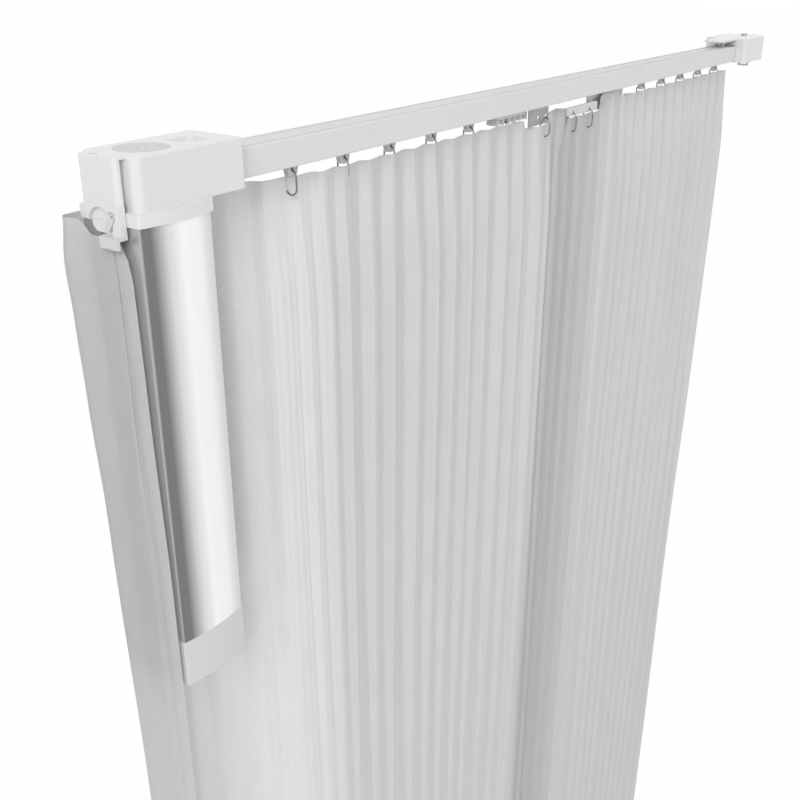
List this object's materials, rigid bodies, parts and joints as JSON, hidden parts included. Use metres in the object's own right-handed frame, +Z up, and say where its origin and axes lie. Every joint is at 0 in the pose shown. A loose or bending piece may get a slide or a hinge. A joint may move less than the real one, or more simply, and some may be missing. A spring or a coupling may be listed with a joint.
{
  "type": "motorised curtain on track",
  "caption": "Belt-driven curtain track with a hanging motor at one end, a pulley at the other, and two pleated semi-sheer panels that part in the middle.",
  "frame": {"origin": "middle of the track's top face, at mid-length", "axes": "+X along the track away from the motor, -Y towards the room, +Z up"},
  "size_m": [0.9775, 0.0599, 1.4074],
  "materials": {
    "white_coat": "satin powder coat",
    "white_gloss": "gloss",
    "white_plastic": "satin",
    "grey_disc": "satin",
    "silver": "brushed",
    "steel": "brushed",
    "wire": "polished",
    "glider_plastic": "milky",
    "belt_rubber": "matt",
    "board": "matt",
    "dark_plastic": "matt",
    "fabric": "woven, semi-sheer"
  },
  "bodies": {
    "track_assembly": {"track_rail": "white_coat", "gearbox_housing": "white_gloss", "gearbox_top_cover": "white_gloss", "hub_cover_disc": "grey_disc", "gearbox_end_cap": "white_gloss", "return_hook": "white_plastic", "latch_pin": "steel", "motor_collar": "white_gloss", "motor_shell": "silver", "motor_bottom_cap": "white_plastic", "power_socket": "dark_plastic", "reducer_case": "steel", "motor_can": "steel", "control_board": "board", "lower_bearing": "steel", "upper_bearing": "steel", "drive_belt": "belt_rubber", "pulley_housing": "white_gloss", "pulley_top_cover": "white_gloss", "idler_axle": "steel", "tongue_spacer": "steel", "cover_screw": "steel", "end_hook": "white_plastic", "left_curtain": "fabric", "right_curtain": "fabric"},
    "drive_shaft": {"drive_pulley": "white_plastic", "output_shaft": "steel"},
    "idler": {"idler_pulley": "white_plastic"},
    "latch": {"release_latch": "white_plastic"},
    "left_master": {"left_master_carrier": "white_plastic", "left_master_bracket": "steel", "left_belt_clip": "white_plastic", "left_master_rings": "wire"},
    "right_master": {"right_master_carrier": "white_plastic", "right_master_bracket": "steel", "right_belt_clip": "white_plastic", "right_master_ring": "wire", "overlap_arm": "white_plastic", "overlap_rings": "wire"},
    "left_runner_1": {"left_glider_1": "glider_plastic", "left_ring_1": "wire"},
    "left_runner_2": {"left_glider_2": "glider_plastic", "left_ring_2": "wire"},
    "left_runner_3": {"left_glider_3": "glider_plastic", "left_ring_3": "wire"},
    "left_runner_4": {"left_glider_4": "glider_plastic", "left_ring_4": "wire"},
    "left_runner_5": {"left_glider_5": "glider_plastic", "left_ring_5": "wire"},
    "right_runner_1": {"right_glider_1": "glider_plastic", "right_ring_1": "wire"},
    "right_runner_2": {"right_glider_2": "glider_plastic", "right_ring_2": "wire"},
    "right_runner_3": {"right_glider_3": "glider_plastic", "right_ring_3": "wire"},
    "right_runner_4": {"right_glider_4": "glider_plastic", "right_ring_4": "wire"},
    "right_runner_5": {"right_glider_5": "glider_plastic", "right_ring_5": "wire"}
  },
  "joints": [
    {"name": "left_master_slide", "type": "slide", "parent": "track_assembly", "child": "left_master", "axis": [-1, 0, 0], "range_m": [0, 0.2], "deforming": ["left_curtain"]},
    {"name": "right_master_slide", "type": "slide", "parent": "track_assembly", "child": "right_master", "axis": [1, 0, 0], "range_m": [0, 0.2], "deforming": ["right_curtain"]},
    {"name": "left_glider_1_slide", "type": "slide", "parent": "track_assembly", "child": "left_runner_1", "axis": [-1, 0, 0], "range_m": [0, 0.04]},
    {"name": "left_glider_2_slide", "type": "slide", "parent": "track_assembly", "child": "left_runner_2", "axis": [-1, 0, 0], "range_m": [0, 0.07424]},
    {"name": "left_glider_3_slide", "type": "slide", "parent": "track_assembly", "child": "left_runner_3", "axis": [-1, 0, 0], "range_m": [0, 0.10848]},
    {"name": "left_glider_4_slide", "type": "slide", "parent": "track_assembly", "child": "left_runner_4", "axis": [-1, 0, 0], "range_m": [0, 0.14271]},
    {"name": "left_glider_5_slide", "type": "slide", "parent": "track_assembly", "child": "left_runner_5", "axis": [-1, 0, 0], "range_m": [0, 0.17695]},
    {"name": "right_glider_1_slide", "type": "slide", "parent": "track_assembly", "child": "right_runner_1", "axis": [1, 0, 0], "range_m": [0, 0.16202]},
    {"name": "right_glider_2_slide", "type": "slide", "parent": "track_assembly", "child": "right_runner_2", "axis": [1, 0, 0], "range_m": [0, 0.12683]},
    {"name": "right_glider_3_slide", "type": "slide", "parent": "track_assembly", "child": "right_runner_3", "axis": [1, 0, 0], "range_m": [0, 0.09164]},
    {"name": "right_glider_4_slide", "type": "slide", "parent": "track_assembly", "child": "right_runner_4", "axis": [1, 0, 0], "range_m": [0, 0.05645]},
    {"name": "right_glider_5_slide", "type": "slide", "parent": "track_assembly", "child": "right_runner_5", "axis": [1, 0, 0], "range_m": [0, 0.02125]},
    {"name": "drive_pulley_spin", "type": "hinge", "parent": "track_assembly", "child": "drive_shaft", "pos_m": [-0.46, 0, -0.006], "axis": [0, 0, -1], "continuous": true},
    {"name": "idler_pulley_spin", "type": "hinge", "parent": "track_assembly", "child": "idler", "pos_m": [0.4595, 0, -0.006], "axis": [0, 0, -1], "continuous": true},
    {"name": "release_latch_swing", "type": "hinge", "parent": "track_assembly", "child": "latch", "pos_m": [-0.489, -0.008, -0.0215], "axis": [1, 0, 0], "range_deg": [0, 25]}
  ],
  "couplings": [
    {"joint": "right_master_slide", "follows": "left_master_slide", "ratio": 1},
    {"joint": "left_glider_1_slide", "follows": "left_master_slide", "ratio": 0.2},
    {"joint": "left_glider_2_slide", "follows": "left_master_slide", "ratio": 0.37119},
    {"joint": "left_glider_3_slide", "follows": "left_master_slide", "ratio": 0.54237},
    {"joint": "left_glider_4_slide", "follows": "left_master_slide", "ratio": 0.71356},
    {"joint": "left_glider_5_slide", "follows": "left_master_slide", "ratio": 0.88475},
    {"joint": "right_glider_1_slide", "follows": "left_master_slide", "ratio": 0.8101},
    {"joint": "right_glider_2_slide", "follows": "left_master_slide", "ratio": 0.63415},
    {"joint": "right_glider_3_slide", "follows": "left_master_slide", "ratio": 0.45819},
    {"joint": "right_glider_4_slide", "follows": "left_master_slide", "ratio": 0.28223},
    {"joint": "right_glider_5_slide", "follows": "left_master_slide", "ratio": 0.10627},
    {"joint": "drive_pulley_spin", "follows": "left_master_slide", "rad_per_m": 120.48},
    {"joint": "idler_pulley_spin", "follows": "left_master_slide", "rad_per_m": 120.48}
  ]
}
